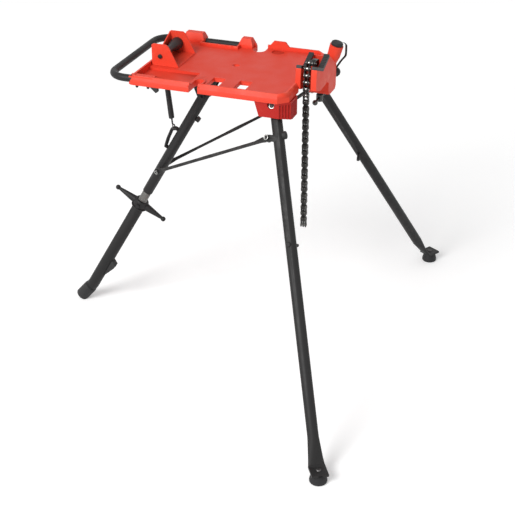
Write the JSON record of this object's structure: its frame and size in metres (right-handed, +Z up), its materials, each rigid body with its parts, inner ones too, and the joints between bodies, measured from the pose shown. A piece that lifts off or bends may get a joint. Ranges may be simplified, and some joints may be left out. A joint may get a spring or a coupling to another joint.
{
  "type": "folding pipe stand",
  "caption": "Folding tripod pipe stand: tool tray with a carrying handle, chain vise at one end, pipe roller at the other, splayed front legs and a levelling rear leg.",
  "frame": {"origin": "centre of the bounding box at floor level", "axes": "+X along the pipe towards the vise, +Y to the right side, +Z up"},
  "size_m": [1.071, 1.349, 0.9546],
  "materials": {
    "red_powder_coat": "satin red powder coat",
    "charcoal_powder_coat": "fine textured charcoal powder coat",
    "black_rubber": "matt black rubber",
    "hardened_steel": "dark oxide",
    "zinc_steel": "zinc plated",
    "chain_steel": "oiled dark steel"
  },
  "bodies": {
    "stand": {"tray_body": "red_powder_coat", "carry_handle": "charcoal_powder_coat", "rim_stud_1": "black_rubber", "rim_stud_2": "black_rubber", "leg_clip": "black_rubber", "roller_bracket": "red_powder_coat", "roller_axle": "black_rubber", "vise_base": "red_powder_coat", "vise_jaw_rear": "hardened_steel", "vise_jaw_front": "hardened_steel", "chain_anchor": "chain_steel", "chain_lead": "chain_steel", "tether_strap": "black_rubber", "tether_knob": "black_rubber", "leg_housing_left": "red_powder_coat", "leg_housing_right": "red_powder_coat", "hinge_bolt_left": "zinc_steel", "hinge_bolt_right": "zinc_steel", "rear_leg_bracket": "charcoal_powder_coat", "hinge_bolt_rear": "charcoal_powder_coat", "tie_strap": "black_rubber"},
    "roller": {"pipe_roller": "hardened_steel"},
    "socket_cap": {"socket_cap": "black_rubber"},
    "tension_screw": {"tension_screw": "zinc_steel"},
    "tommy_bar": {"tommy_bar": "hardened_steel"},
    "rear_leg": {"rear_leg_tube": "charcoal_powder_coat", "levelling_thread": "zinc_steel", "brace_bolt_rear_left": "zinc_steel", "brace_bolt_rear_right": "zinc_steel", "strap_loop": "charcoal_powder_coat", "leg_stop": "charcoal_powder_coat"},
    "lower_leg": {"lower_leg_tube": "charcoal_powder_coat", "rear_foot_cap": "black_rubber", "foot_pedal": "black_rubber"},
    "nut": {"levelling_nut": "charcoal_powder_coat"},
    "brace_left": {"brace_left": "charcoal_powder_coat"},
    "brace_right": {"brace_right": "charcoal_powder_coat"},
    "front_leg_left": {"front_leg_left": "charcoal_powder_coat", "front_foot_left": "black_rubber", "foot_screw_left": "hardened_steel", "fold_stud_left": "charcoal_powder_coat", "brace_bolt_left": "zinc_steel"},
    "front_leg_right": {"front_leg_right": "charcoal_powder_coat", "front_foot_right": "black_rubber", "foot_screw_right": "hardened_steel", "fold_stud_right": "charcoal_powder_coat", "brace_bolt_right": "zinc_steel"},
    "chain_1": {"chain_links_01": "chain_steel"},
    "chain_2": {"chain_links_02": "chain_steel"},
    "chain_3": {"chain_links_03": "chain_steel"},
    "chain_4": {"chain_links_04": "chain_steel"},
    "chain_5": {"chain_links_05": "chain_steel"},
    "chain_6": {"chain_links_06": "chain_steel"},
    "chain_7": {"chain_links_07": "chain_steel"},
    "chain_8": {"chain_links_08": "chain_steel"},
    "chain_9": {"chain_links_09": "chain_steel"},
    "chain_10": {"chain_links_10": "chain_steel"}
  },
  "joints": [
    {"name": "rear_leg_fold", "type": "hinge", "parent": "stand", "child": "rear_leg", "pos_m": [-0.0597, 0, 0.785], "axis": [0, 1, 0], "range_deg": [0, 60.13], "deforming": ["tie_strap"]},
    {"name": "front_leg_left_fold", "type": "hinge", "parent": "stand", "child": "front_leg_left", "pos_m": [0.2098, -0.152, 0.833], "axis": [0, 0.8583, -0.5131], "range_deg": [0, 107.24]},
    {"name": "brace_left_pivot", "type": "hinge", "parent": "rear_leg", "child": "brace_left", "pos_m": [-0.2106, -0.03, 0.52225], "axis": [-0.3222, -0.9422, -0.0915], "range_deg": [0, 37.93]},
    {"name": "front_leg_right_fold", "type": "hinge", "parent": "stand", "child": "front_leg_right", "pos_m": [0.2098, 0.152, 0.833], "axis": [0, 0.8583, 0.5131], "range_deg": [0, 107.24]},
    {"name": "brace_right_pivot", "type": "hinge", "parent": "rear_leg", "child": "brace_right", "pos_m": [-0.2106, 0.03, 0.52225], "axis": [0.3222, -0.9422, 0.0915], "range_deg": [0, 37.93]},
    {"name": "lower_leg_slide", "type": "slide", "parent": "rear_leg", "child": "lower_leg", "axis": [-0.498, 0, -0.8672], "range_m": [0, 0.06]},
    {"name": "levelling_nut_turn", "type": "hinge", "parent": "lower_leg", "child": "nut", "pos_m": [-0.2873, 0, 0.38871], "axis": [-0.498, 0, -0.8672], "range_deg": [0, 1800]},
    {"name": "roller_spin", "type": "hinge", "parent": "stand", "child": "roller", "pos_m": [-0.17, 0, 0.9066], "axis": [0, 1, 0], "continuous": true},
    {"name": "tension_screw_turn", "type": "hinge", "parent": "stand", "child": "tension_screw", "pos_m": [0.2754, 0.047, 0.799], "axis": [0, 0, 1], "continuous": true},
    {"name": "tommy_bar_slide", "type": "slide", "parent": "tension_screw", "child": "tommy_bar", "axis": [0, 1, 0], "range_m": [-0.012, 0.012]},
    {"name": "socket_cap_pull", "type": "slide", "parent": "stand", "child": "socket_cap", "axis": [0.2588, 0, 0.9659], "range_m": [0, 0.025], "deforming": ["tether_strap"]},
    {"name": "chain_link_1_swing", "type": "hinge", "parent": "stand", "child": "chain_1", "pos_m": [0.2754, -0.0815, 0.83249], "axis": [1, 0, 0], "range_deg": [-4, 4]},
    {"name": "chain_link_2_swing", "type": "hinge", "parent": "chain_1", "child": "chain_2", "pos_m": [0.2754, -0.0815, 0.79439], "axis": [1, 0, 0], "range_deg": [-4, 4]},
    {"name": "chain_link_3_swing", "type": "hinge", "parent": "chain_2", "child": "chain_3", "pos_m": [0.2754, -0.0815, 0.75629], "axis": [1, 0, 0], "range_deg": [-4, 4]},
    {"name": "chain_link_4_swing", "type": "hinge", "parent": "chain_3", "child": "chain_4", "pos_m": [0.2754, -0.0815, 0.71819], "axis": [1, 0, 0], "range_deg": [-4, 4]},
    {"name": "chain_link_5_swing", "type": "hinge", "parent": "chain_4", "child": "chain_5", "pos_m": [0.2754, -0.0815, 0.68009], "axis": [1, 0, 0], "range_deg": [-4, 4]},
    {"name": "chain_link_6_swing", "type": "hinge", "parent": "chain_5", "child": "chain_6", "pos_m": [0.2754, -0.0815, 0.64199], "axis": [1, 0, 0], "range_deg": [-4, 4]},
    {"name": "chain_link_7_swing", "type": "hinge", "parent": "chain_6", "child": "chain_7", "pos_m": [0.2754, -0.0815, 0.60389], "axis": [1, 0, 0], "range_deg": [-4, 4]},
    {"name": "chain_link_8_swing", "type": "hinge", "parent": "chain_7", "child": "chain_8", "pos_m": [0.2754, -0.0815, 0.56579], "axis": [1, 0, 0], "range_deg": [-4, 4]},
    {"name": "chain_link_9_swing", "type": "hinge", "parent": "chain_8", "child": "chain_9", "pos_m": [0.2754, -0.0815, 0.52769], "axis": [1, 0, 0], "range_deg": [-4, 4]},
    {"name": "chain_link_10_swing", "type": "hinge", "parent": "chain_9", "child": "chain_10", "pos_m": [0.2754, -0.0815, 0.48959], "axis": [1, 0, 0], "range_deg": [-4, 4]}
  ],
  "couplings": [
    {"joint": "front_leg_left_fold", "follows": "rear_leg_fold", "ratio": 1.7835},
    {"joint": "brace_left_pivot", "follows": "rear_leg_fold", "ratio": 0.63074},
    {"joint": "front_leg_right_fold", "follows": "rear_leg_fold", "ratio": 1.7835},
    {"joint": "brace_right_pivot", "follows": "rear_leg_fold", "ratio": 0.63074},
    {"joint": "lower_leg_slide", "follows": "levelling_nut_turn", "m_per_rad": 0.0019099}
  ]
}
